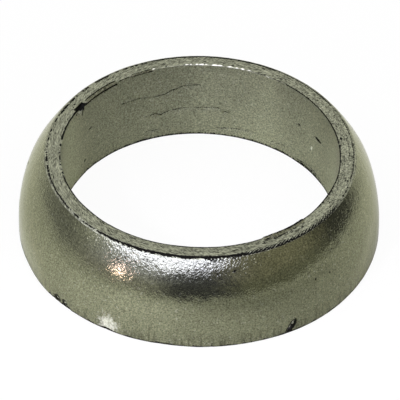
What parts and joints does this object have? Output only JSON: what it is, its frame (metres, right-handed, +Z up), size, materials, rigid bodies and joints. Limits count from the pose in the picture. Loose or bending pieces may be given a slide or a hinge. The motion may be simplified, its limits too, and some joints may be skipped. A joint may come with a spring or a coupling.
{
  "type": "exhaust gasket",
  "caption": "Exhaust sealing ring with a straight bore, a flat land on top, a rounded sealing flank and a broad foot, with a chipped and flashed edge.",
  "frame": {"origin": "centre of the bore in the plane of the foot, on which the ring rests", "axes": "+Z up along the bore, from the foot to the land; X and Y are free round the ring, and the foot's leaning pit lies 300 degrees from +X"},
  "size_m": [0.0684, 0.0684, 0.0179],
  "materials": {
    "graphite_mesh": "satin warm grey, die-formed graphite and stainless wire mesh with a fine worm-like grain"
  },
  "bodies": {
    "root": {"gasket_ring": "graphite_mesh"}
  },
  "joints": []
}
